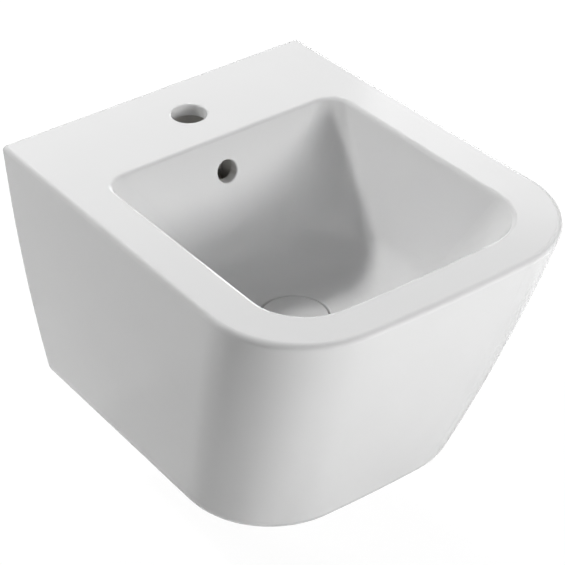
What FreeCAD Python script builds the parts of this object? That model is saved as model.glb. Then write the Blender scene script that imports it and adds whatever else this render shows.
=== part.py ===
import FreeCAD, Part
import math
import os

# Wall-hung bidet in millimetres. The wall is at y = 0, the front looks to -Y,
# and z = 0 is the line of the wall studs.

# Ceramic body, outside
rim_above_studs = 95.0
body_height = 287.0
body_depth = 450.0
rim_wall_width = 351.6
rim_front_width = 373.2
rim_corner = 97.0
rim_bow = 8.7
base_depth = 348.5
base_wall_width = 278.0
base_front_width = 297.4
base_corner = 96.0
base_bow = 6.8
side_swell = 4.5
front_swell = 2.8
edge_round = 4.8
base_round = 21.0

# Ceramic body, walls and hollow
skirt_wall = 10.0
bowl_wall = 9.0
deck_thickness = 12.0
back_wall = 14.0
base_plate = 10.0
back_door_width = 132.0
back_door_top = 60.0
back_door_corner = 25.0
under_door_width = 190.0
under_door_ahead = 49.0
under_door_corner = 45.0
door_round = 3.0
wall_trim = 20.0

# Bowl
deck_depth = 112.8
front_rim = 43.7
bowl_back_width = 270.4
bowl_front_width = 278.6
bowl_back_corner = 21.0
bowl_front_corner = 53.5
bowl_bow = 5.2
bowl_depth = 146.0
back_draft = 36.0
side_draft = 29.0
front_draft = 51.0
floor_back_corner = 85.0
floor_front_corner = 85.0
floor_round = 52.0
lip_round = 4.5

# Tap hole and overflow
tap_hole_diameter = 35.0
tap_from_wall = 59.0
tap_hole_round = 1.5
overflow_diameter = 22.0
overflow_below_rim = 35.0
overflow_round = 1.5
duct_width = 26.0
duct_wall = 6.0
duct_gap = 10.0
duct_headroom = 8.0

# Drain in the ceramic
drain_from_wall = 226.0
sump_top_diameter = 72.0
sump_depth = 12.0
sump_round = 1.5
drain_boss_height = 26.0
drain_boss_wall = 19.0
drain_clearance = 1.6
seat_clearance = 2.0
port_height = 12.0
port_below_seat = 6.0

# Wall fixing
stud_spacing = 180.0
stud_diameter = 12.0
stud_in_wall = 60.0
stud_spare = 8.0
stud_wall_diameter = 13.0
stud_relief_diameter = 30.0
stud_relief = 3.0
sleeve_wall = 3.0
sleeve_collar_diameter = 30.0
sleeve_collar = 3.0
washer_diameter = 28.0
washer_thickness = 2.5
fixing_nut_flats = 19.0
fixing_nut_height = 10.0

# Waste
flange_diameter = 63.0
flange_thickness = 4.5
flange_lip = 2.5
waste_tube_diameter = 41.9
waste_tube_wall = 2.75
waste_tail = 54.0
gasket_thickness = 2.0
lower_gasket_thickness = 4.0
lower_gasket_width = 9.0
slip_washer_thickness = 1.5
back_nut_flats = 52.0
back_nut_height = 10.5
window_width = 11.0
window_count = 4
bridge_height = 8.0
bridge_above_tail = 9.0
bridge_arm = 3.0
bridge_arms = 3
bridge_turn = 60.0
hub_wall = 3.5

# Push plug
plug_diameter = 66.0
plug_edge = 6.5
plug_edge_round = 1.0
plug_crown = 3.0
plug_hub_diameter = 32.0
plug_hub_height = 3.5
plug_lift = 8.0
seal_width = 6.0
seal_thickness = 2.5
stem_diameter = 8.0
stem_grip = 2.5
rotor_height = 6.0
rotor_teeth = 4
tooth_depth = 1.5
tooth_width = 2.0
barrel_diameter = 17.0
barrel_wall = 2.0
barrel_floor = 2.0
shank_diameter = 12.0
shank_spare = 5.0
guide_height = 5.0
housing_nut_flats = 18.0
housing_nut_height = 4.0
spring_wire = 1.0
spring_turns = 5
spring_closed_length = 11.0

# Bottle trap
union_wall = 5.0
union_height = 18.0
union_overlap = 10.0
union_lip = 3.5
inlet_washer_thickness = 2.0
neck_diameter = 34.0
neck_wall = 2.5
neck_collar = 2.5
bottle_diameter = 58.0
bottle_wall = 2.5
bottle_height = 48.0
shoulder_height = 10.0
neck_clear = 2.0
seal_depth = 50.0
cup_wall = 3.0
cup_overlap = 12.0
cup_floor_gap = 11.5
cup_round = 9.0
cup_seal_thickness = 2.0
cup_ribs = 12
rib_depth = 1.5
branch_drop = 24.0
branch_wall = 3.5
branch_length = 24.0
pipe_diameter = 32.0
pipe_wall = 1.5
pipe_in_wall = 40.0
pipe_grip = 14.0
branch_nut_wall = 5.0
branch_nut_height = 22.0
branch_nut_lip = 4.0
branch_seal_thickness = 5.0
socket_diameter = 40.0
sleeve_start = 4.0
sleeve_length = 30.0

# Clearances
running_fit = 0.05
thread_fit = 0.05
seal_gap = 0.4

# Slack for picking edges by their place
near = 0.01

# Levels and places worked out from the sizes above
rim_z = rim_above_studs
base_z = rim_z - body_height
floor_z = rim_z - bowl_depth
seat_z = floor_z - sump_depth
boss_z = seat_z - drain_boss_height
drain_y = -drain_from_wall
bowl_back_y = -deck_depth
bowl_front_y = -(body_depth - front_rim)
tube_r = waste_tube_diameter / 2
tube_bore_r = tube_r - waste_tube_wall
drain_r = tube_r + drain_clearance
boss_r = drain_r + drain_boss_wall
flange_r = flange_diameter / 2
seat_r = flange_r + seat_clearance
port_top_z = seat_z - port_below_seat
port_z = port_top_z - port_height
duct_back_y = bowl_back_y + bowl_wall + duct_gap
overflow_z = rim_z - overflow_below_rim
overflow_r = overflow_diameter / 2
stud_r = stud_diameter / 2
sleeve_r = stud_r + running_fit + sleeve_wall
stud_places = (-stud_spacing / 2, stud_spacing / 2)


def mix(first, last, share):
    """Value a given share of the way from first to last."""
    return first + (last - first) * share


def cylinder(radius, z_low, z_high, x=0.0, y=0.0):
    """Upright cylinder."""
    return Part.makeCylinder(radius, z_high - z_low, FreeCAD.Vector(x, y, z_low))


def ring(outer, inner, z_low, z_high, x=0.0, y=0.0):
    """Upright tube between two levels."""
    return cylinder(outer, z_low, z_high, x, y).cut(cylinder(inner, z_low, z_high, x, y))


def rod(radius, y_front, y_back, x, z):
    """Cylinder along Y, from y_front to y_back."""
    return Part.makeCylinder(radius, y_back - y_front, FreeCAD.Vector(x, y_front, z), FreeCAD.Vector(0, 1, 0))


def pipe(outer, inner, y_front, y_back, x, z):
    """Tube along Y."""
    return rod(outer, y_front, y_back, x, z).cut(rod(inner, y_front, y_back, x, z))


def block(x_half, y_front, y_back, z_low, z_high):
    """Box centred on x = 0."""
    return Part.makeBox(2 * x_half, y_back - y_front, z_high - z_low, FreeCAD.Vector(-x_half, y_front, z_low))


def turned(points):
    """Solid turned about the drain's axis from an outline of (radius, z) points."""
    corners = [FreeCAD.Vector(r, drain_y, z) for r, z in points]
    face = Part.Face(Part.makePolygon(corners + corners[:1]))
    return face.revolve(FreeCAD.Vector(0, drain_y, 0), FreeCAD.Vector(0, 0, 1), 360)


def hexagon(flats, z_low, z_high, x=0.0, y=0.0):
    """Upright hexagonal prism."""
    reach = flats / math.sqrt(3)
    turns = [math.radians(60 * k) for k in range(7)]
    corners = [FreeCAD.Vector(x + reach * math.cos(a), y + reach * math.sin(a), z_low) for a in turns]
    return Part.Face(Part.makePolygon(corners)).extrude(FreeCAD.Vector(0, 0, z_high - z_low))


def on_stud_axis(shape, x):
    """Turns a piece built upright at the origin so that its top looks out of the room into the wall."""
    laid = shape.copy()
    laid.rotate(FreeCAD.Vector(0, 0, 0), FreeCAD.Vector(1, 0, 0), -90)
    laid.translate(FreeCAD.Vector(x, 0, 0))
    return laid


def at_drain(shape):
    """Moves a piece built at the origin to the drain's axis."""
    moved = shape.copy()
    moved.translate(FreeCAD.Vector(0, drain_y, 0))
    return moved


def rounded(shape, radius, chosen):
    """Rounds the edges that the test picks."""
    return shape.makeFillet(radius, [edge for edge in shape.Edges if chosen(edge.BoundBox)])


def mirrored(point):
    """Point on the other side of the centre plane."""
    return FreeCAD.Vector(-point.x, point.y, point.z)


def curve(first, middle, last):
    """Straight edge, or an arc through a middle point."""
    if middle is None:
        return Part.LineSegment(first, last).toShape()
    return Part.Arc(first, middle, last).toShape()


def plan_wire(z, back_y, front_y, back_half, front_half, corner, bow, back_corner=0.0):
    """Outline seen from above: straight back and sides, rounded front corners and a bowed front."""
    side = FreeCAD.Vector(front_half - back_half, front_y - back_y, 0)
    side.normalize()
    inward = FreeCAD.Vector(side.y, -side.x, 0)
    back_point = FreeCAD.Vector(back_half, back_y, z)
    front_point = FreeCAD.Vector(0, front_y, z)
    front_r = (front_half ** 2 + bow ** 2) / (2 * bow)
    front_centre = front_point + FreeCAD.Vector(0, front_r, 0)
    start = back_point + inward * corner - front_centre
    along = start.dot(side)
    reach = (front_r - corner) ** 2 - start.dot(start) + along ** 2
    centre = front_centre + start + side * (math.sqrt(reach) - along)
    side_end = centre - inward * corner
    front_way = (centre - front_centre).normalize()
    front_end = front_centre + front_way * front_r
    half_way = (front_way - inward).normalize()
    corner_mid = centre + half_way * corner

    right_edges = []
    side_start = back_point
    back_end = back_point
    if back_corner > 0:
        to_centre = FreeCAD.Vector(-1, 0, 0)
        bisector = (to_centre + side).normalize()
        half_angle = to_centre.getAngle(side) / 2
        back_end = back_point + to_centre * (back_corner / math.tan(half_angle))
        side_start = back_point + side * (back_corner / math.tan(half_angle))
        back_mid = back_point + bisector * (back_corner / math.sin(half_angle) - back_corner)
        right_edges.append((back_end, back_mid, side_start))
    right_edges.append((side_start, None, side_end))
    right_edges.append((side_end, corner_mid, front_end))

    edges = []
    for first, middle, last in right_edges:
        edges.append(curve(first, middle, last))
    edges.append(curve(front_end, front_point, mirrored(front_end)))
    for first, middle, last in reversed(right_edges):
        edges.append(curve(mirrored(last), middle and mirrored(middle), mirrored(first)))
    edges.append(curve(mirrored(back_end), None, back_end))
    return Part.Wire(edges)


# Ceramic body: one slip-cast and fired piece with an outer skirt, a flat rim and deck, and a bowl inside

def skirt_wire(share, inset, back_y):
    """Outline of the skirt a share of the way from rim to base, drawn in by inset."""
    swell = 4 * share * (1 - share)
    back_half = mix(rim_wall_width, base_wall_width, share) / 2 + side_swell * swell - inset
    front_half = mix(rim_front_width, base_front_width, share) / 2 + side_swell * swell - inset
    depth = mix(body_depth, base_depth, share) + front_swell * swell - inset
    back_half += (back_half - front_half) * back_y / depth
    corner = mix(rim_corner, base_corner, share) - inset
    bow = mix(rim_bow, base_bow, share)
    return plan_wire(rim_z - share * body_height, back_y, -depth, back_half, front_half, corner, bow)


def skirt_solid(inset, back_y, top_share, base_share, bottom_round):
    """Tapering block inside the skirt's outline, with its bottom edge rounded."""
    shares = [top_share, (top_share + base_share) / 2, base_share]
    solid = Part.makeLoft([skirt_wire(share, inset, back_y) for share in shares], True, False)
    low = rim_z - base_share * body_height
    return rounded(solid, bottom_round, lambda box: box.ZMax < low + near and box.YMin < back_y - near)


def bowl_solid(grow, depth, bottom_round):
    """Bowl's space, grown on all sides to give the outside of its wall."""
    top = plan_wire(rim_z, bowl_back_y + grow, bowl_front_y - grow, bowl_back_width / 2 + grow,
                    bowl_front_width / 2 + grow, bowl_front_corner + grow, bowl_bow, bowl_back_corner + grow)
    floor = plan_wire(rim_z - depth, bowl_back_y - back_draft + grow, bowl_front_y + front_draft - grow,
                      bowl_back_width / 2 - side_draft + grow, bowl_front_width / 2 - side_draft + grow,
                      floor_front_corner + grow, bowl_bow, floor_back_corner + grow)
    solid = Part.makeLoft([top, floor], True, True)
    low = rim_z - depth
    return rounded(solid, bottom_round, lambda box: box.ZMax < low + near)


def duct_prism(half_width, shrink):
    """Overflow duct behind and under the bowl, drawn in by shrink on its outer sides."""
    back = duct_back_y + duct_wall - shrink
    top = overflow_z + overflow_r + duct_headroom + duct_wall - shrink
    under = port_z - duct_wall + shrink
    boss_back = drain_y + boss_r
    outline = [(back, top), (back, floor_z), (bowl_back_y - back_draft, under), (drain_y, under),
               (drain_y, port_top_z), (boss_back, port_top_z), (boss_back, floor_z), (bowl_back_y, top)]
    corners = [FreeCAD.Vector(-half_width, y, z) for y, z in outline]
    face = Part.Face(Part.makePolygon(corners + corners[:1]))
    return face.extrude(FreeCAD.Vector(2 * half_width, 0, 0))


def ceramic_body():
    """Skirt, deck, bowl, drain boss and overflow duct in one solid."""
    outer = skirt_solid(0.0, wall_trim, 0.0, 1.0, base_round)
    outer = outer.cut(block(rim_front_width, 0, wall_trim, base_z, rim_z))
    outer = rounded(outer, edge_round, lambda box: box.ZMin > rim_z - near or box.YMin > -near)

    bowl = bowl_solid(0.0, bowl_depth, floor_round)
    bowl_outside = bowl_solid(bowl_wall, bowl_depth + bowl_wall, floor_round + bowl_wall)
    boss = cylinder(boss_r, boss_z, floor_z, 0, drain_y)
    duct = duct_prism(duct_width / 2 + duct_wall, 0.0)
    hollow = skirt_solid(skirt_wall, -back_wall, deck_thickness / body_height,
                         1 - base_plate / body_height, base_round - skirt_wall)
    hollow = hollow.cut(bowl_outside).cut(boss).cut(duct)
    body = outer.cut(hollow)

    channel = duct_prism(duct_width / 2, duct_wall).cut(bowl_outside)
    body = body.cut(channel)
    body = body.cut(block(duct_width / 2, drain_y, drain_y + boss_r, port_z, port_top_z))

    body = body.cut(bowl)
    inside = bowl.BoundBox
    inside.enlarge(near)
    body = rounded(body, lip_round, lambda box: box.ZMin > rim_z - near and inside.isInside(box))

    sump_r = sump_top_diameter / 2
    sump = Part.makeCone(seat_r, 2 * sump_r - seat_r, 2 * sump_depth, FreeCAD.Vector(0, drain_y, seat_z))
    body = body.cut(sump)
    sump_box = FreeCAD.BoundBox(-boss_r, drain_y - boss_r, floor_z - near, boss_r, drain_y + boss_r, rim_z)
    body = rounded(body, sump_round, lambda box: sump_box.isInside(box))
    body = body.cut(cylinder(drain_r, boss_z, seat_z, 0, drain_y))

    mouth_y = bowl_back_y - back_draft * overflow_below_rim / bowl_depth
    body = body.cut(rod(overflow_r, bowl_back_y - back_draft, duct_back_y - near, 0, overflow_z))
    mouth = FreeCAD.BoundBox(-overflow_r, mouth_y - bowl_wall / 2, overflow_z - overflow_r,
                             overflow_r, mouth_y + bowl_wall / 2, overflow_z + overflow_r)
    mouth.enlarge(near)
    body = rounded(body, overflow_round, lambda box: mouth.isInside(box))
    body = body.cut(cylinder(tap_hole_diameter / 2, rim_z - deck_thickness, rim_z, 0, -tap_from_wall))
    tap_reach = tap_hole_diameter / 2 + near
    body = rounded(body, tap_hole_round, lambda box: box.ZMin > rim_z - near and box.XMax < tap_reach
                   and box.YMin > -tap_from_wall - tap_reach and box.YMax < -tap_from_wall + tap_reach)

    for x in stud_places:
        body = body.cut(rod(sleeve_r + running_fit, -back_wall, 0, x, 0))
        body = body.cut(rod(stud_relief_diameter / 2, -stud_relief, 0, x, 0))

    door_x = back_door_width / 2
    door_z = rim_z - back_door_top
    back_door = block(door_x, -back_wall, 0, base_z, door_z)
    back_door = rounded(back_door, back_door_corner,
                        lambda box: box.ZMin > door_z - near and box.YLength > back_wall - near)
    door_y = drain_y - under_door_ahead
    under_door = block(under_door_width / 2, door_y, -back_wall, base_z, base_z + base_plate)
    under_door = rounded(under_door, under_door_corner,
                         lambda box: box.YMax < door_y + near and box.ZLength > base_plate - near)
    body = body.cut(back_door).cut(under_door)
    back_edges = FreeCAD.BoundBox(-door_x, -near, base_z, door_x, near, door_z)
    back_edges.enlarge(near)
    return rounded(body, door_round, lambda box: back_edges.isInside(box))


# Wall fixing: studs screwed into the wall, plastic sleeves in the ceramic, washers and nuts

collar_y = -back_wall - sleeve_collar
washer_y = collar_y - washer_thickness
nut_y = washer_y - fixing_nut_height


def fixing_studs():
    """Two studs, with a wide coarse thread in the wall and a metric thread through the nuts."""
    studs = []
    for x in stud_places:
        wall_end = rod(stud_wall_diameter / 2, 0, stud_in_wall, x, 0)
        studs.append(rod(stud_r, nut_y - stud_spare, 0, x, 0).fuse(wall_end))
    return studs


def stud_sleeves():
    """Collared sleeves that keep steel off the ceramic."""
    bore = cylinder(stud_r + running_fit, collar_y, -stud_relief)
    collar = cylinder(sleeve_collar_diameter / 2, collar_y, -back_wall)
    sleeve = cylinder(sleeve_r, -back_wall, -stud_relief).fuse(collar).cut(bore).removeSplitter()
    return [on_stud_axis(sleeve, x) for x in stud_places]


def fixing_washers():
    """Flat washers on the sleeves' collars."""
    washer = ring(washer_diameter / 2, stud_r + running_fit, washer_y, collar_y)
    return [on_stud_axis(washer, x) for x in stud_places]


def fixing_nuts():
    """Hexagon nuts."""
    nut = hexagon(fixing_nut_flats, nut_y, washer_y).cut(cylinder(stud_r + thread_fit, nut_y, washer_y))
    return [on_stud_axis(nut, x) for x in stud_places]


# Waste: flanged tube clamped through the drain hole, with windows that take the overflow

flange_low = seat_z + gasket_thickness
flange_top = flange_low + flange_thickness
gasket_low = boss_z - lower_gasket_thickness
slip_low = gasket_low - slip_washer_thickness
back_nut_low = slip_low - back_nut_height
tail_z = seat_z - waste_tail
bridge_low = tail_z + bridge_above_tail
bridge_top = bridge_low + bridge_height
hub_bore_r = shank_diameter / 2 + running_fit


def waste_gasket():
    """Soft ring on the ceramic seat."""
    return [ring(flange_r, tube_r + running_fit, seat_z, flange_low, 0, drain_y)]


def waste_body():
    """Flange with a dished mouth, tube, overflow windows and the bridge for the push mechanism."""
    tube = turned([(tube_bore_r, tail_z), (tube_r, tail_z), (tube_r, flange_low), (flange_r, flange_low),
                   (flange_r, flange_top), (flange_r - flange_lip, flange_top), (tube_bore_r, flange_low)])
    for k in range(window_count):
        window = block(window_width / 2, 0, tube_r + drain_clearance, port_z, port_top_z)
        window.rotate(FreeCAD.Vector(0, 0, 0), FreeCAD.Vector(0, 0, 1), 360.0 * k / window_count)
        tube = tube.cut(at_drain(window))
    hub_r = hub_bore_r + hub_wall
    bridge = cylinder(hub_r, bridge_low, bridge_top)
    for k in range(bridge_arms):
        arm = block(bridge_arm / 2, 0, tube_bore_r + waste_tube_wall / 2, bridge_low, bridge_top)
        arm.rotate(FreeCAD.Vector(0, 0, 0), FreeCAD.Vector(0, 0, 1), bridge_turn + 360.0 * k / bridge_arms)
        bridge = bridge.fuse(arm)
    bridge = at_drain(bridge.cut(cylinder(hub_bore_r, bridge_low, bridge_top)))
    return [tube.fuse(bridge).removeSplitter()]


def lower_gasket():
    """Rubber ring under the drain boss."""
    return [ring(tube_r + lower_gasket_width, tube_r + running_fit, gasket_low, boss_z, 0, drain_y)]


def slip_washer():
    """Hard washer that lets the nut turn without dragging the rubber."""
    return [ring(tube_r + lower_gasket_width, tube_r + running_fit, slip_low, gasket_low, 0, drain_y)]


def back_nut():
    """Large hexagon nut on the waste's thread."""
    nut = hexagon(back_nut_flats, back_nut_low, slip_low)
    return [at_drain(nut.cut(cylinder(tube_r + thread_fit, back_nut_low, slip_low)))]


# Push plug and its click mechanism: the plug, seal, stem and rotor rise and fall together

cap_low = flange_top + seal_gap
hub_low = cap_low - plug_hub_height
stem_r = stem_diameter / 2
barrel_r = barrel_diameter / 2
barrel_bore_r = barrel_r - barrel_wall
barrel_floor_z = bridge_top + barrel_floor
rotor_low = barrel_floor_z + spring_closed_length
rotor_top = rotor_low + rotor_height
guide_low = rotor_top + plug_lift + tooth_depth
guide_top = guide_low + guide_height


def plug_cap():
    """Domed disc with a round hub below."""
    radius = plug_diameter / 2
    edge_z = cap_low + plug_edge
    dome_r = (radius ** 2 + plug_crown ** 2) / (2 * plug_crown)
    dome = Part.makeSphere(dome_r, FreeCAD.Vector(0, drain_y, edge_z + plug_crown - dome_r))
    cap = cylinder(radius, cap_low, edge_z + plug_crown, 0, drain_y).common(dome)
    cap = rounded(cap, plug_edge_round, lambda box: box.ZMin > edge_z - near and box.ZMax < edge_z + near)
    cap = cap.fuse(cylinder(plug_hub_diameter / 2, hub_low, cap_low, 0, drain_y)).removeSplitter()
    return [cap.cut(cylinder(stem_r + running_fit, hub_low, hub_low + stem_grip, 0, drain_y))]


def plug_seal():
    """Rubber ring round the hub, which closes the flange's dished mouth."""
    inner = plug_hub_diameter / 2
    return [ring(inner + seal_width, inner, cap_low - seal_thickness, cap_low, 0, drain_y)]


def plug_stem():
    """Rod from the cap to the rotor."""
    return [cylinder(stem_r, rotor_low, hub_low + stem_grip, 0, drain_y)]


def click_rotor():
    """Ratchet ring on the stem's foot, notched on top."""
    radius = barrel_bore_r - running_fit
    rotor = ring(radius, stem_r, rotor_low, rotor_top)
    for k in range(rotor_teeth):
        notch = block(tooth_width / 2, 0, radius + tooth_width, rotor_top - tooth_depth, rotor_top)
        notch.rotate(FreeCAD.Vector(0, 0, 0), FreeCAD.Vector(0, 0, 1), 360.0 * k / rotor_teeth)
        rotor = rotor.cut(notch)
    return [at_drain(rotor)]


def click_spring():
    """Compression spring under the rotor, a tube along quarter-turn arcs."""
    wire_r = spring_wire / 2
    coil_r = barrel_bore_r - running_fit - spring_wire
    low = barrel_floor_z + wire_r
    rise = spring_closed_length - spring_wire
    steps = spring_turns * 4

    def point(step):
        angle = math.pi / 2 * step
        return FreeCAD.Vector(coil_r * math.cos(angle), coil_r * math.sin(angle), low + rise * step / steps)

    arcs = [Part.Arc(point(k), point(k + 0.5), point(k + 1)).toShape() for k in range(steps)]
    path = Part.Wire(arcs)
    start = arcs[0].tangentAt(arcs[0].FirstParameter)
    section = Part.Wire([Part.makeCircle(wire_r, point(0), start)])
    return [at_drain(path.makePipeShell([section], True, False))]


def click_housing():
    """Barrel on the bridge's hub, with a threaded shank through it."""
    shank_low = bridge_low - housing_nut_height - shank_spare + thread_fit
    shank = cylinder(shank_diameter / 2, shank_low, bridge_top)
    barrel = ring(barrel_r, barrel_bore_r, barrel_floor_z, guide_low)
    barrel = barrel.fuse(cylinder(barrel_r, bridge_top, barrel_floor_z)).fuse(shank)
    return [at_drain(barrel.removeSplitter())]


def guide_cap():
    """Collar on the barrel's mouth, bored for the stem."""
    return [ring(barrel_r, stem_r + running_fit, guide_low, guide_top, 0, drain_y)]


def housing_nut():
    """Thin nut under the bridge."""
    low = bridge_low - housing_nut_height
    nut = hexagon(housing_nut_flats, low, bridge_low)
    return [at_drain(nut.cut(cylinder(shank_diameter / 2 + thread_fit, low, bridge_low)))]


# Bottle trap: union nut, upper half with dip tube and branch, cleaning cup, and the pipe to the wall

inlet_low = tail_z - inlet_washer_thickness
collar_low = inlet_low - neck_collar
union_low = collar_low - union_lip
union_top = union_low + union_height
neck_r = neck_diameter / 2
neck_bore_r = neck_r - neck_wall
shoulder_top = union_low - neck_clear
bottle_top = shoulder_top - shoulder_height
bottle_low = bottle_top - bottle_height
bottle_r = bottle_diameter / 2
bottle_bore_r = bottle_r - bottle_wall
branch_z = shoulder_top - branch_drop
pipe_r = pipe_diameter / 2
pipe_bore_r = pipe_r - pipe_wall
branch_bore_r = pipe_r + running_fit
branch_r = branch_bore_r + branch_wall
branch_end = drain_y + bottle_r + branch_length
pipe_start = branch_end - pipe_grip
weir_z = branch_z - pipe_bore_r
dip_low = weir_z - seal_depth
cup_inside = dip_low - cup_floor_gap


def union_nut():
    """Round nut that draws the trap's collar up to the waste tube."""
    outer = tube_r + union_wall
    nut = turned([(neck_r + running_fit, union_low), (outer, union_low), (outer, union_top),
                  (tube_r + thread_fit, union_top), (tube_r + thread_fit, collar_low),
                  (neck_r + running_fit, collar_low)])
    grip = hexagon(2 * outer, union_low + union_lip, union_low + union_overlap)
    nut = nut.fuse(at_drain(grip.cut(cylinder(outer - union_wall / 2, union_low, union_top))))
    return [nut.removeSplitter()]


def inlet_washer():
    """Flat seal between the waste tube's end and the trap's collar."""
    return [ring(tube_r, neck_bore_r, inlet_low, tail_z, 0, drain_y)]


def trap_body():
    """Collar, neck, shoulder, bottle, dip tube and back branch in one moulding."""
    shoulder_low = shoulder_top - bottle_wall - neck_wall
    shell = turned([(neck_bore_r, inlet_low), (tube_r, inlet_low), (tube_r, collar_low), (neck_r, collar_low),
                    (neck_r, shoulder_top), (bottle_r, bottle_top), (bottle_r, bottle_low),
                    (bottle_bore_r, bottle_low), (bottle_bore_r, bottle_top - bottle_wall),
                    (neck_r, shoulder_low), (neck_r, dip_low), (neck_bore_r, dip_low)])
    cavity = turned([(neck_r, dip_low), (bottle_bore_r, dip_low), (bottle_bore_r, bottle_top - bottle_wall),
                     (neck_r, shoulder_low)])
    branch = rod(branch_r, drain_y + neck_r, branch_end, 0, branch_z).cut(cavity)
    shell = shell.fuse(branch)
    shell = shell.cut(rod(pipe_bore_r, drain_y + neck_r, branch_end, 0, branch_z))
    shell = shell.cut(rod(branch_bore_r, pipe_start, branch_end, 0, branch_z))
    return [shell.removeSplitter()]


def cup_seal():
    """Ring between the bottle's end and the ledge in the cup."""
    return [ring(bottle_r, bottle_bore_r, bottle_low - cup_seal_thickness, bottle_low, 0, drain_y)]


def trap_cup():
    """Cleaning cup with a ribbed grip, screwed over the bottle's end."""
    ledge = bottle_low - cup_seal_thickness
    top = bottle_low + cup_overlap
    outer = bottle_r + thread_fit + cup_wall
    lower = bottle_bore_r + cup_wall
    bottom = cup_inside - cup_wall
    cup = cylinder(outer, ledge - cup_wall, top)
    cup = cup.fuse(cylinder(lower, bottom, ledge - cup_wall)).removeSplitter()
    cup = rounded(cup, cup_round, lambda box: box.ZMax < bottom + near)
    inside = cylinder(bottle_bore_r, cup_inside, ledge)
    inside = rounded(inside, cup_round - cup_wall, lambda box: box.ZMax < cup_inside + near)
    cup = cup.cut(cylinder(bottle_r + thread_fit, ledge, top)).cut(inside)
    for k in range(cup_ribs):
        groove = cylinder(rib_depth * 2, ledge - cup_wall, top, outer + rib_depth, 0)
        groove.rotate(FreeCAD.Vector(0, 0, 0), FreeCAD.Vector(0, 0, 1), 360.0 * k / cup_ribs)
        cup = cup.cut(groove)
    return [at_drain(cup)]


def branch_nut():
    """Compression nut over the branch and the pipe's seal."""
    outer = branch_r + branch_nut_wall
    mouth = branch_end + branch_seal_thickness + branch_nut_lip
    low = mouth - branch_nut_height
    nut = rod(outer, low, mouth, 0, branch_z)
    nut = nut.cut(rod(branch_r + thread_fit, low, branch_end + branch_seal_thickness, 0, branch_z))
    return [nut.cut(rod(pipe_r + running_fit, low, mouth, 0, branch_z))]


def branch_seal():
    """Ring squeezed between branch, nut and pipe."""
    return [pipe(branch_r, pipe_r + running_fit, branch_end, branch_end + branch_seal_thickness, 0, branch_z)]


def outlet_pipe():
    """Straight drain pipe from the trap into the wall."""
    return [pipe(pipe_r, pipe_bore_r, pipe_start, pipe_in_wall, 0, branch_z)]


def outlet_sleeve():
    """Rubber sleeve that fills the gap between the pipe and the wall's drain socket."""
    sleeve_end = sleeve_start + sleeve_length
    return [pipe(socket_diameter / 2, pipe_r + running_fit, sleeve_start, sleeve_end, 0, branch_z)]


pieces = {
    "ceramic_body": [ceramic_body()],
    "fixing_studs": fixing_studs(),
    "stud_sleeves": stud_sleeves(),
    "fixing_washers": fixing_washers(),
    "fixing_nuts": fixing_nuts(),
    "waste_gasket": waste_gasket(),
    "waste_body": waste_body(),
    "lower_gasket": lower_gasket(),
    "slip_washer": slip_washer(),
    "back_nut": back_nut(),
    "plug_cap": plug_cap(),
    "plug_seal": plug_seal(),
    "plug_stem": plug_stem(),
    "click_rotor": click_rotor(),
    "click_spring": click_spring(),
    "click_housing": click_housing(),
    "guide_cap": guide_cap(),
    "housing_nut": housing_nut(),
    "union_nut": union_nut(),
    "inlet_washer": inlet_washer(),
    "trap_body": trap_body(),
    "cup_seal": cup_seal(),
    "trap_cup": trap_cup(),
    "branch_nut": branch_nut(),
    "branch_seal": branch_seal(),
    "outlet_pipe": outlet_pipe(),
    "outlet_sleeve": outlet_sleeve(),
}

os.makedirs("parts", exist_ok=True)
for name, solids in pieces.items():
    shape = solids[0] if len(solids) == 1 else Part.makeCompound(solids)
    shape.exportStep("parts/" + name + ".step")
    box = shape.BoundBox
    print(name, len(shape.Solids), shape.isValid(), round(shape.Volume / 1000, 2), "cm3",
          [round(v, 1) for v in (box.XMin, box.XMax, box.YMin, box.YMax, box.ZMin, box.ZMax)])
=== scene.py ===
import math
import bmesh
import bpy
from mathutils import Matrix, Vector
from mathutils.bvhtree import BVHTree


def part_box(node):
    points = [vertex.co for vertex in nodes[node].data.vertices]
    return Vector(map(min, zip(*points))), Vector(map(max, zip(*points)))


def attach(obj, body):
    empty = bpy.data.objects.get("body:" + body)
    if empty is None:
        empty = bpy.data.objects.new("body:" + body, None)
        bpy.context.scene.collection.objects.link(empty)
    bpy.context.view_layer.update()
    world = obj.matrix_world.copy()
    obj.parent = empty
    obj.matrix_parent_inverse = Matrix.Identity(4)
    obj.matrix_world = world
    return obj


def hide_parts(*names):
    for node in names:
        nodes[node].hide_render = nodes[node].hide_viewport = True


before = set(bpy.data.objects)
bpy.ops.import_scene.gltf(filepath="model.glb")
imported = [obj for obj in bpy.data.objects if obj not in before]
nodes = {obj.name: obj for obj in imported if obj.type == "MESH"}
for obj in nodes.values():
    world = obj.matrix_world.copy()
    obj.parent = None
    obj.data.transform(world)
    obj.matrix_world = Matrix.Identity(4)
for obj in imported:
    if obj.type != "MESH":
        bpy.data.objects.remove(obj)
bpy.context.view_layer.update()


# Ceramic body
# One slip-cast piece of vitreous china with a glossy white glaze on every side that shows.
# The flat back and the hollow for the pipes are left as bare fired clay.

china_white = (0.78, 0.78, 0.78, 1.0)
china_shade = 0.985
china_tone_grain = 9.0
glaze_roughness = 0.12
glaze_gloss = (0.10, 0.14)
glaze_gloss_grain = 25.0
glaze_index = 1.5
glaze_wave_grain = 70.0
glaze_wave_height = 0.00003
bare_clay = (0.66, 0.65, 0.63, 1.0)
clay_shade = 0.93
clay_tone_grain = 60.0
clay_roughness = 0.85
clay_grit_grain = 1200.0
clay_grit_height = 0.00006
tone_span = (0.35, 0.65)
gloss_span = (0.3, 0.7)
back_depth = 0.004
facing_wall = 0.9
ray_start = 0.0002


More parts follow.
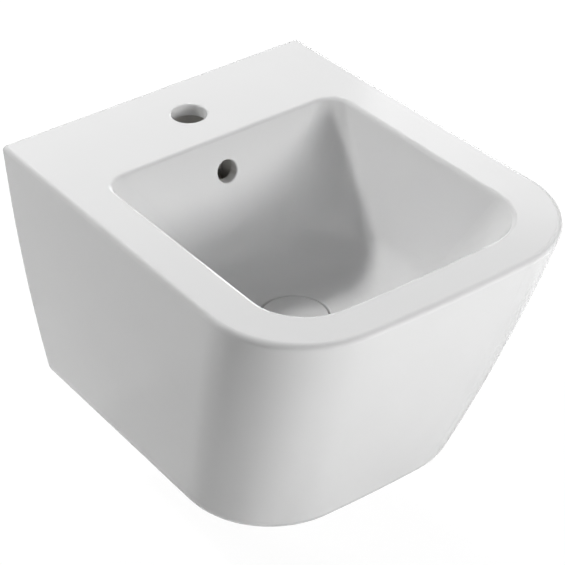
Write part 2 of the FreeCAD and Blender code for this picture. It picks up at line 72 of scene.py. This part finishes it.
def new_finish(name, roughness, metallic=0.0):
    """Material with a principled shader; gives the material and its shader node."""
    material = bpy.data.materials.new(name)
    material.use_nodes = True
    shader = material.node_tree.nodes["Principled BSDF"]
    shader.inputs["Roughness"].default_value = roughness
    shader.inputs["Metallic"].default_value = metallic
    return material, shader


def noise(material, scale, detail=3.0, stretch=(1.0, 1.0, 1.0)):
    """Noise fixed to the piece, with grains one over scale metres across; gives its factor socket."""
    tree = material.node_tree
    place = tree.nodes.new("ShaderNodeTexCoord")
    mapping = tree.nodes.new("ShaderNodeMapping")
    mapping.inputs["Scale"].default_value = stretch
    pattern = tree.nodes.new("ShaderNodeTexNoise")
    pattern.inputs["Scale"].default_value = scale
    pattern.inputs["Detail"].default_value = detail
    tree.links.new(place.outputs["Object"], mapping.inputs["Vector"])
    tree.links.new(mapping.outputs["Vector"], pattern.inputs["Vector"])
    return pattern.outputs["Fac"]


def darker(colour, share):
    """The same colour with a share of its light."""
    red, green, blue, alpha = colour
    return (share * red, share * green, share * blue, alpha)


def shades(material, factor, span, dark, light):
    """Colour that goes from dark to light as the factor goes through a span."""
    ramp = material.node_tree.nodes.new("ShaderNodeValToRGB")
    ramp.color_ramp.elements[0].position = span[0]
    ramp.color_ramp.elements[0].color = dark
    ramp.color_ramp.elements[1].position = span[1]
    ramp.color_ramp.elements[1].color = light
    material.node_tree.links.new(factor, ramp.inputs["Fac"])
    return ramp.outputs["Color"]


def spread(material, factor, span, first, last):
    """Number that goes from first to last as the factor goes through a span."""
    spreading = material.node_tree.nodes.new("ShaderNodeMapRange")
    spreading.inputs["From Min"].default_value = span[0]
    spreading.inputs["From Max"].default_value = span[1]
    spreading.inputs["To Min"].default_value = first
    spreading.inputs["To Max"].default_value = last
    material.node_tree.links.new(factor, spreading.inputs["Value"])
    return spreading.outputs["Result"]


def feed(material, shader, name, socket):
    """Links a socket to a named input of the shader."""
    material.node_tree.links.new(socket, shader.inputs[name])


def bumps(material, shader, factor, height):
    """Relief of the given height in metres from a factor."""
    relief = material.node_tree.nodes.new("ShaderNodeBump")
    relief.inputs["Distance"].default_value = height
    material.node_tree.links.new(factor, relief.inputs["Height"])
    feed(material, shader, "Normal", relief.outputs["Normal"])


def dress(node, *materials):
    """Gives a piece its finish in place of the plain colour that it came with."""
    piece = nodes[node]
    piece.data.materials.clear()
    for material in materials:
        piece.data.materials.append(material)
    return piece


def glazed_china(name):
    """Glossy glaze with a faint waviness."""
    material, shader = new_finish(name, glaze_roughness)
    shader.inputs["IOR"].default_value = glaze_index
    slow = noise(material, china_tone_grain, detail=2.0)
    tone = shades(material, slow, gloss_span, darker(china_white, china_shade), china_white)
    feed(material, shader, "Base Color", tone)
    gloss = spread(material, noise(material, glaze_gloss_grain), gloss_span, *glaze_gloss)
    feed(material, shader, "Roughness", gloss)
    bumps(material, shader, noise(material, glaze_wave_grain, detail=1.0), glaze_wave_height)
    return material


def fired_clay():
    """Unglazed clay, matt and grainy."""
    material, shader = new_finish("fired_clay", clay_roughness)
    cloudy = noise(material, clay_tone_grain, detail=6.0)
    tone = shades(material, cloudy, tone_span, darker(bare_clay, clay_shade), bare_clay)
    feed(material, shader, "Base Color", tone)
    bumps(material, shader, noise(material, clay_grit_grain, detail=4.0), clay_grit_height)
    return material


ceramic = dress("ceramic_body", glazed_china("glazed_china"), fired_clay())
skin_points = [vertex.co for vertex in ceramic.data.vertices]
skin = BVHTree.FromPolygons(skin_points, [polygon.vertices for polygon in ceramic.data.polygons])
wall_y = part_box("ceramic_body")[1].y
upward = Vector((0.0, 0.0, 1.0))
for polygon in ceramic.data.polygons:
    start = polygon.center + polygon.normal * ray_start
    aside = Vector((1.0 if start.x > 0 else -1.0, 0.0, 0.0))
    on_wall = polygon.normal.y > facing_wall and polygon.center.y > wall_y - back_depth
    roofed = skin.ray_cast(start, upward)[0] is not None
    walled = skin.ray_cast(start, aside)[0] is not None
    polygon.material_index = 1 if on_wall or roofed and walled else 0


# Wall fixing
# Two zinc-plated studs, screwed into the wall by a coarse thread, carry the body on a metric thread.
# Plastic sleeves keep the steel off the china, and a washer and a nut on each stud hold the body to the wall.

zinc_grey = (0.60, 0.61, 0.63, 1.0)
zinc_gloss = (0.26, 0.44)
zinc_grain = 900.0
zinc_grain_height = 0.000004
sleeve_white = (0.78, 0.78, 0.75, 1.0)
sleeve_gloss = (0.42, 0.56)
sleeve_grain = 2200.0
sleeve_grain_height = 0.000006
metal_shade = 0.88
metal_tone_share = 0.15
moulded_shade = 0.93
moulded_tone_grain = 40.0
even_grain = (1.0, 1.0, 1.0)
sharp_edge = 32.0
stud_half_spacing = 0.090
stud_radius = 0.006
stud_pitch = 0.00175
stud_thread_depth = 0.00107
stud_chamfer = 0.0010
stud_shank = 0.0054
shank_length = 0.003
wall_thread_radius = 0.0065
wall_thread_pitch = 0.005
wall_thread_depth = 0.0021
stud_tip = 0.010
stud_tip_radius = 0.0022
thread_root_share = 0.2
thread_flank_share = 0.65
metric_rows_in_turn = 10
coarse_rows_in_turn = 25
stud_points = 48
fixing_nut_flats = 0.019
thread_slack = 0.00005
nut_points = 72
nut_chamfer_angle = 30.0
nut_chamfer_steps = 5
nut_chamfer_share = 0.475
nut_sink_share = 0.06


def metal(name, colour, gloss, grain, stretch, height):
    """Plated or machined metal: uneven gloss, fine marks and a slightly uneven colour."""
    material, shader = new_finish(name, gloss[0], 1.0)
    patches = noise(material, grain * metal_tone_share, detail=4.0)
    tone = shades(material, patches, tone_span, darker(colour, metal_shade), colour)
    feed(material, shader, "Base Color", tone)
    marks = noise(material, grain, detail=4.0, stretch=stretch)
    feed(material, shader, "Roughness", spread(material, marks, gloss_span, *gloss))
    bumps(material, shader, marks, height)
    return material


def moulded(name, colour, gloss, grain, height):
    """Moulded plastic or rubber: matt grain, with a faint uneven tone."""
    material, shader = new_finish(name, gloss[0])
    patches = noise(material, moulded_tone_grain)
    tone = shades(material, patches, tone_span, darker(colour, moulded_shade), colour)
    feed(material, shader, "Base Color", tone)
    fine = noise(material, grain)
    feed(material, shader, "Roughness", spread(material, fine, gloss_span, *gloss))
    bumps(material, shader, fine, height)
    return material


def skins(name, sets, loop, finish, body):
    """Piece made of skins, each drawn over rings of points; loop joins a skin's last ring to its first."""
    builder = bmesh.new()
    for rings in sets:
        made = [[builder.verts.new(point) for point in ring] for ring in rings]
        count = len(rings[0])
        pairs = list(zip(made, made[1:] + made[:1])) if loop else list(zip(made, made[1:]))
        for first, second in pairs:
            for k in range(count):
                after = (k + 1) % count
                builder.faces.new((first[k], first[after], second[after], second[k]))
        if not loop:
            builder.faces.new(made[0])
            builder.faces.new(made[-1])
    bmesh.ops.recalc_face_normals(builder, faces=builder.faces)
    mesh = bpy.data.meshes.new(name)
    builder.to_mesh(mesh)
    builder.free()
    mesh.polygons.foreach_set("use_smooth", [True] * len(mesh.polygons))
    mesh.set_sharp_from_angle(angle=math.radians(sharp_edge))
    mesh.materials.append(finish)
    piece = bpy.data.objects.new(name, mesh)
    bpy.context.scene.collection.objects.link(piece)
    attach(piece, body)
    return piece


def thread_form(turns):
    """Height of a thread, 0 at its root and 1 at its crest, at a place counted in turns."""
    from_root = 2.0 * abs(turns % 1.0 - 0.5)
    return min(1.0, max(0.0, (from_root - thread_root_share) / thread_flank_share))


def stud_rings(x, low, high):
    """Rings along one stud: metric thread, plain shank at the wall, coarse thread and a blunt tip."""
    rings = []
    tip_slope = (wall_thread_radius - stud_tip_radius) / stud_tip
    y = low
    while y <= high:
        metric = y < -shank_length
        coarse = y > shank_length
        ring = []
        for k in range(stud_points):
            turn = k / stud_points
            radius = stud_shank
            if metric:
                radius = stud_radius - stud_thread_depth * (1 - thread_form(y / stud_pitch - turn))
                radius = min(radius, stud_radius - stud_chamfer + (y - low))
            if coarse:
                crest = thread_form(y / wall_thread_pitch - turn) ** 2
                radius = wall_thread_radius - wall_thread_depth * (1 - crest)
                radius = min(radius, stud_tip_radius + (high - y) * tip_slope)
            angle = 2 * math.pi * turn
            ring.append((x + radius * math.cos(angle), y, radius * math.sin(angle)))
        rings.append(ring)
        y += stud_pitch / metric_rows_in_turn if metric else wall_thread_pitch / coarse_rows_in_turn
    return rings


def nut_rings(flats, height, bore):
    """Rings round a hexagon nut as (radius, angle, level): chamfered outside, countersunk bore."""
    slope = math.tan(math.radians(nut_chamfer_angle))
    start = nut_chamfer_share * flats
    bevel = (flats / math.sqrt(3) - start) * slope
    sink = nut_sink_share * flats
    angles = [2 * math.pi * k / nut_points for k in range(nut_points)]
    rises = [bevel * k / nut_chamfer_steps for k in range(nut_chamfer_steps + 1)]
    levels = rises + [height - rise for rise in reversed(rises)]
    rings = []
    for level in levels:
        cone = start + min(level, height - level) / slope
        ring = []
        for angle in angles:
            flat = flats / 2 / math.cos(angle % (math.pi / 3) - math.pi / 6)
            ring.append((min(flat, cone), angle, level))
        rings.append(ring)
    for radius, level in ((bore + sink, height), (bore, height - sink), (bore, sink), (bore + sink, 0.0)):
        rings.append([(radius, angle, level) for angle in angles])
    return rings


def stud_set(rings, x, low):
    """Rings of (radius, angle, level) set along a stud at x, from a given place on its axis."""
    return [[(x + r * math.cos(a), low + level, -r * math.sin(a)) for r, a, level in ring] for ring in rings]


zinc_steel = metal("zinc_steel", zinc_grey, zinc_gloss, zinc_grain, even_grain, zinc_grain_height)
sleeve_plastic = moulded("sleeve_plastic", sleeve_white, sleeve_gloss, sleeve_grain, sleeve_grain_height)
stud_places = (-stud_half_spacing, stud_half_spacing)
stud_low, stud_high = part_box("fixing_studs")
stud_sets = [stud_rings(x, stud_low.y, stud_high.y) for x in stud_places]
studs = skins("threaded_studs", stud_sets, False, zinc_steel, "body")
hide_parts("fixing_studs")
dress("stud_sleeves", sleeve_plastic)
dress("fixing_washers", zinc_steel)
nut_low, nut_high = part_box("fixing_nuts")
rings = nut_rings(fixing_nut_flats, nut_high.y - nut_low.y, stud_radius + thread_slack)
nut_sets = [stud_set(rings, x, nut_low.y) for x in stud_places]
fixing_nuts = skins("chamfered_nuts", nut_sets, True, zinc_steel, "body")
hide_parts("fixing_nuts")


# Waste
# A chromed brass tube with a flange, set through the drain hole on a soft foam ring.
# Below the boss a rubber ring, a slip washer and a large brass nut on the tube's thread clamp it.

chrome_grey = (0.78, 0.79, 0.80, 1.0)
chrome_gloss = (0.05, 0.12)
chrome_grain = 120.0
chrome_grain_height = 0.000002
threaded_gloss = (0.08, 0.16)
threaded_grain = 260.0
pipe_thread_pitch = 0.00231
pipe_thread_depth = 0.0006
waves_per_unit = 20 / (2 * math.pi)
brass_yellow = (0.72, 0.54, 0.27, 1.0)
brass_gloss = (0.22, 0.38)
brass_grain = 700.0
brass_turning = (1.0, 1.0, 12.0)
brass_grain_height = 0.000005
foam_grey = (0.70, 0.70, 0.68, 1.0)
foam_shade = 0.8
foam_roughness = 0.85
foam_grain = 900.0
foam_pore_grain = 1500.0
foam_pore_depth = 0.00015
rubber_black = (0.025, 0.025, 0.026, 1.0)
rubber_gloss = (0.50, 0.68)
rubber_grain = 1800.0
rubber_grain_height = 0.00001
back_nut_flats = 0.052
tube_skin = 0.0006
thread_above_nut = 0.001
upright_face = 0.3


def threaded_chrome():
    """Chrome over a pipe thread, with the thread's ridges as relief."""
    name = "threaded_chrome"
    material = metal(name, chrome_grey, threaded_gloss, threaded_grain, even_grain, chrome_grain_height)
    tree = material.node_tree
    place = tree.nodes.new("ShaderNodeTexCoord")
    ridges = tree.nodes.new("ShaderNodeTexWave")
    ridges.bands_direction = "Z"
    ridges.wave_profile = "TRI"
    ridges.inputs["Scale"].default_value = 1 / (waves_per_unit * pipe_thread_pitch)
    tree.links.new(place.outputs["Object"], ridges.inputs["Vector"])
    bumps(material, tree.nodes["Principled BSDF"], ridges.outputs["Fac"], pipe_thread_depth)
    return material


def foam():
    """Closed-cell foam with small pores."""
    material, shader = new_finish("foam", foam_roughness)
    tone = shades(material, noise(material, foam_grain), tone_span, darker(foam_grey, foam_shade), foam_grey)
    feed(material, shader, "Base Color", tone)
    tree = material.node_tree
    place = tree.nodes.new("ShaderNodeTexCoord")
    pores = tree.nodes.new("ShaderNodeTexVoronoi")
    pores.inputs["Scale"].default_value = foam_pore_grain
    tree.links.new(place.outputs["Object"], pores.inputs["Vector"])
    bumps(material, shader, pores.outputs["Distance"], foam_pore_depth)
    return material


def drain_set(rings, low):
    """Rings of (radius, angle, level) set upright on the drain's axis, from a given level."""
    return [[(drain.x + r * math.cos(a), drain.y + r * math.sin(a), low + level) for r, a, level in ring]
            for ring in rings]


chrome = metal("chrome", chrome_grey, chrome_gloss, chrome_grain, even_grain, chrome_grain_height)
brass = metal("brass", brass_yellow, brass_gloss, brass_grain, brass_turning, brass_grain_height)
black_rubber = moulded("black_rubber", rubber_black, rubber_gloss, rubber_grain, rubber_grain_height)
drain = (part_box("waste_body")[0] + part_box("waste_body")[1]) / 2
tube_radius = (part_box("inlet_washer")[1].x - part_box("inlet_washer")[0].x) / 2
nut_low, nut_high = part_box("back_nut")
dress("waste_gasket", foam())
waste = dress("waste_body", chrome, threaded_chrome())
for polygon in waste.data.polygons:
    from_axis = math.hypot(polygon.center.x - drain.x, polygon.center.y - drain.y)
    outside = from_axis > tube_radius - tube_skin
    below_flange = polygon.center.z < nut_high.z + thread_above_nut
    polygon.material_index = 1 if outside and below_flange and abs(polygon.normal.z) < upright_face else 0
dress("lower_gasket", black_rubber)
dress("slip_washer", sleeve_plastic)
rings = nut_rings(back_nut_flats, nut_high.z - nut_low.z, tube_radius + thread_slack)
back_nut = skins("brass_back_nut", [drain_set(rings, nut_low.z)], True, brass, "body")
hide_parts("back_nut")


# Push plug
# A white glazed cap with a rubber ring closes the waste; a press on it works a click mechanism that lifts it.
# The brass stem, dark plastic barrel, ratchet ring and steel spring stand inside the waste tube.

click_grey = (0.16, 0.16, 0.17, 1.0)
click_gloss = (0.34, 0.48)
click_grain = 1500.0
click_grain_height = 0.000006
spring_grey = (0.55, 0.56, 0.57, 1.0)
spring_gloss = (0.24, 0.40)
spring_grain = 1500.0
spring_grain_height = 0.000003
housing_nut_flats = 0.018
shank_radius = 0.006

click_plastic = moulded("click_plastic", click_grey, click_gloss, click_grain, click_grain_height)
spring_steel = metal("spring_steel", spring_grey, spring_gloss, spring_grain, even_grain, spring_grain_height)
dress("plug_cap", glazed_china("plug_china"))
dress("plug_seal", black_rubber)
dress("plug_stem", brass)
dress("click_rotor", click_plastic)
dress("click_spring", spring_steel)
dress("click_housing", click_plastic)
dress("guide_cap", click_plastic)
nut_low, nut_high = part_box("housing_nut")
rings = nut_rings(housing_nut_flats, nut_high.z - nut_low.z, shank_radius + thread_slack)
housing_nut = skins("brass_housing_nut", [drain_set(rings, nut_low.z)], True, brass, "body")
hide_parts("housing_nut")


# Bottle trap
# White moulded plastic: a union nut draws the trap's collar up to the waste tube on a rubber washer.
# The upper half holds the dip tube and the branch, and the cleaning cup screws onto it on a rubber ring.

trap_white = (0.84, 0.84, 0.82, 1.0)
trap_gloss = (0.26, 0.38)
trap_grain = 500.0
trap_grain_height = 0.000008
mould_line_width = 0.0004
mould_line_height = 0.0003


def trap_finish():
    """Semi-gloss moulded plastic with the mould's parting line along the middle."""
    material = moulded("trap_plastic", trap_white, trap_gloss, trap_grain, trap_grain_height)
    tree = material.node_tree
    shader = tree.nodes["Principled BSDF"]
    place = tree.nodes.new("ShaderNodeTexCoord")
    apart = tree.nodes.new("ShaderNodeSeparateXYZ")
    tree.links.new(place.outputs["Object"], apart.inputs["Vector"])
    aside = tree.nodes.new("ShaderNodeMath")
    aside.operation = "ABSOLUTE"
    tree.links.new(apart.outputs["X"], aside.inputs[0])
    line = spread(material, aside.outputs["Value"], (0.0, mould_line_width), 1.0, 0.0)
    grain = shader.inputs["Normal"].links[0].from_node
    bumps(material, shader, line, mould_line_height)
    seam = shader.inputs["Normal"].links[0].from_node
    tree.links.new(grain.outputs["Normal"], seam.inputs["Normal"])
    return material


trap_plastic = trap_finish()
dress("union_nut", trap_plastic)
dress("inlet_washer", black_rubber)
dress("trap_body", trap_plastic)
dress("cup_seal", black_rubber)
dress("trap_cup", trap_plastic)


# Outlet
# A plain plastic pipe runs from the trap's branch into the wall, held by a nut over a rubber ring.
# The nut has moulded ribs to grip, and a rubber sleeve fills the gap in the wall's drain socket.

rib_count = 18
rib_height = 0.0011
rib_half_width = 0.0016
rib_inset = 0.003
rib_root = 0.0004
rib_run_out = ((0.0, 0.0), (0.0008, 0.75), (0.002, 1.0))
rib_bow_steps = 6


def rib_rings(centre_x, centre_z, radius, low, high, turn):
    """Rings along one half-round rib on a nut that lies along Y; the rib runs out at both ends."""
    steps = [(low + away, share) for away, share in rib_run_out]
    steps = steps + [(high - away, share) for away, share in reversed(rib_run_out)]
    rings = []
    for y, share in steps:
        ring = []
        for k in range(rib_bow_steps + 1):
            bow = math.pi * k / rib_bow_steps
            out = radius - rib_root + (rib_height + rib_root) * share * math.sin(bow)
            angle = turn + rib_half_width * math.cos(bow) / radius
            ring.append((centre_x + out * math.cos(angle), y, centre_z + out * math.sin(angle)))
        rings.append(ring)
    return rings


dress("branch_nut", trap_plastic)
dress("branch_seal", black_rubber)
dress("outlet_pipe", trap_plastic)
dress("outlet_sleeve", black_rubber)
grip_low, grip_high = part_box("branch_nut")
grip = (grip_low + grip_high) / 2
grip_radius = (grip_high.x - grip_low.x) / 2
rib_low = grip_low.y + rib_inset
rib_high = grip_high.y - rib_inset
rib_sets = [rib_rings(grip.x, grip.z, grip_radius, rib_low, rib_high, 2 * math.pi * k / rib_count)
            for k in range(rib_count)]
skins("branch_nut_ribs", rib_sets, False, trap_plastic, "body")


# Studio
# A pale floor below the hanging body, soft lamps round it and the camera at the photograph's view.
# The camera sees floor and room almost white, and mirrored rays see the lit floor and a dim glow behind it.

rim_height = 0.40
floor_reach = 6.0
backdrop_start = 0.03
floor_white = (0.76, 0.76, 0.76, 1.0)
floor_seen = (0.08, 0.08, 0.08, 1.0)
floor_glow = 0.945
floor_mirrored = 0.0
backdrop_mirrored = 0.1
room_white = (1.0, 1.0, 1.0, 1.0)
room_light = 0.0
room_mirrored = 0.12
off_to_on = (0.0, 1.0)


def math_node(tree, operation, first, second):
    """Node that works out one number from two sockets; gives its result socket."""
    node = tree.nodes.new("ShaderNodeMath")
    node.operation = operation
    tree.links.new(first, node.inputs[0])
    tree.links.new(second, node.inputs[1])
    return node.outputs["Value"]


def mirrored_glow(holder, path, plain, mirrored):
    """Strength that is plain for most rays, and the mirrored one for rays from glossy and clear surfaces."""
    glossy = path.outputs["Is Glossy Ray"]
    clear = path.outputs["Is Transmission Ray"]
    rays = math_node(holder.node_tree, "MAXIMUM", glossy, clear)
    return spread(holder, rays, off_to_on, plain, mirrored)


def added(tree, first, second):
    """Sum of two shaders; gives its socket."""
    both = tree.nodes.new("ShaderNodeAddShader")
    tree.links.new(first, both.inputs[0])
    tree.links.new(second, both.inputs[1])
    return both.outputs["Shader"]


def floor_sheet(name, near_y, far_y, mirrored):
    """White sheet that takes shadows; the camera sees it paler, and mirrored rays see a given glow on it."""
    mesh = bpy.data.meshes.new(name)
    corners = [(-floor_reach, near_y, floor_z), (floor_reach, near_y, floor_z),
               (floor_reach, far_y, floor_z), (-floor_reach, far_y, floor_z)]
    mesh.from_pydata(corners, [], [(0, 1, 2, 3)])
    sheet = bpy.data.objects.new(name, mesh)
    bpy.context.scene.collection.objects.link(sheet)
    finish = bpy.data.materials.new(name)
    finish.use_nodes = True
    tree = finish.node_tree
    tree.nodes.clear()
    path = tree.nodes.new("ShaderNodeLightPath")
    mirror_glow = tree.nodes.new("ShaderNodeEmission")
    tree.links.new(mirrored_glow(finish, path, 0.0, mirrored), mirror_glow.inputs["Strength"])
    plain = tree.nodes.new("ShaderNodeBsdfDiffuse")
    plain.inputs["Color"].default_value = floor_white
    seen = tree.nodes.new("ShaderNodeBsdfDiffuse")
    seen.inputs["Color"].default_value = floor_seen
    seen_glow = tree.nodes.new("ShaderNodeEmission")
    seen_glow.inputs["Strength"].default_value = floor_glow
    mixed = tree.nodes.new("ShaderNodeMixShader")
    tree.links.new(path.outputs["Is Camera Ray"], mixed.inputs["Fac"])
    tree.links.new(added(tree, plain.outputs["BSDF"], mirror_glow.outputs["Emission"]), mixed.inputs[1])
    tree.links.new(added(tree, seen.outputs["BSDF"], seen_glow.outputs["Emission"]), mixed.inputs[2])
    output = tree.nodes.new("ShaderNodeOutputMaterial")
    tree.links.new(mixed.outputs["Shader"], output.inputs["Surface"])
    mesh.materials.append(finish)


floor_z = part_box("ceramic_body")[1].z - rim_height
floor_sheet("floor", -floor_reach, backdrop_start, floor_mirrored)
floor_sheet("backdrop", backdrop_start, floor_reach, backdrop_mirrored)

world = bpy.data.worlds.new("world")
world.use_nodes = True
bpy.context.scene.world = world
background = world.node_tree.nodes["Background"]
background.inputs["Color"].default_value = room_white
path = world.node_tree.nodes.new("ShaderNodeLightPath")
room_glow = mirrored_glow(world, path, room_light, room_mirrored)
room_strength = math_node(world.node_tree, "MAXIMUM", room_glow, path.outputs["Is Camera Ray"])
world.node_tree.links.new(room_strength, background.inputs["Strength"])

body_low, body_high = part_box("ceramic_body")
body_middle = (body_low + body_high) / 2


def lamp(name, azimuth, elevation, distance, width, height, power, mirrored=False):
    """Soft box that looks at the middle of the body; mirrored says if the glaze shows it."""
    turn = math.radians(azimuth)
    tilt = math.radians(elevation)
    way = Vector((math.sin(turn) * math.cos(tilt), -math.cos(turn) * math.cos(tilt), math.sin(tilt)))
    light = bpy.data.lights.new(name, "AREA")
    light.shape = "RECTANGLE"
    light.size = width
    light.size_y = height
    light.energy = power
    holder = bpy.data.objects.new(name, light)
    holder.location = body_middle + way * distance
    holder.rotation_euler = (math.pi / 2 - tilt, 0, turn)
    holder.visible_camera = False
    holder.visible_glossy = mirrored
    bpy.context.scene.collection.objects.link(holder)


lamp("back_lamp", azimuth=-146, elevation=45.7, distance=2.4, width=0.26, height=0.26, power=34)
lamp("wall_lamp", azimuth=165, elevation=40, distance=2.4, width=0.5, height=0.5, power=17)
lamp("right_lamp", azimuth=106, elevation=30, distance=2.3, width=1.4, height=0.6, power=20)
lamp("front_lamp", azimuth=20, elevation=16, distance=2.3, width=0.7, height=0.4, power=24)
lamp("left_front_lamp", azimuth=-15, elevation=19, distance=2.3, width=0.6, height=0.4, power=3.9)
lamp("low_front_lamp", azimuth=10, elevation=-3, distance=2.3, width=0.8, height=0.2, power=8.0)
lamp("left_lamp", azimuth=-62, elevation=26, distance=2.3, width=0.6, height=0.6, power=0.5)
lamp("top_lamp", azimuth=0, elevation=86, distance=2.0, width=1.2, height=1.2, power=3.6)
lamp("right_back_lamp", azimuth=130, elevation=16, distance=2.3, width=0.45, height=0.5, power=5,
     mirrored=True)
lamp("rim_lamp", azimuth=132, elevation=31, distance=2.3, width=0.45, height=0.4, power=0.8,
     mirrored=True)

camera_azimuth = -37.217
camera_elevation = 34.501
camera_place = (-1.1020, -1.6553, 1.2293)
camera_lens = 148.16
camera_sensor = 36.0
camera_shift = 0.0039

camera_data = bpy.data.cameras.new("camera")
camera_data.lens = camera_lens
camera_data.sensor_width = camera_sensor
camera_data.shift_x = camera_shift
camera = bpy.data.objects.new("camera", camera_data)
camera.location = camera_place
camera.rotation_euler = (math.radians(90 - camera_elevation), 0, math.radians(camera_azimuth))
bpy.context.scene.collection.objects.link(camera)
bpy.context.scene.camera = camera
bpy.context.scene.view_settings.view_transform = "Standard"
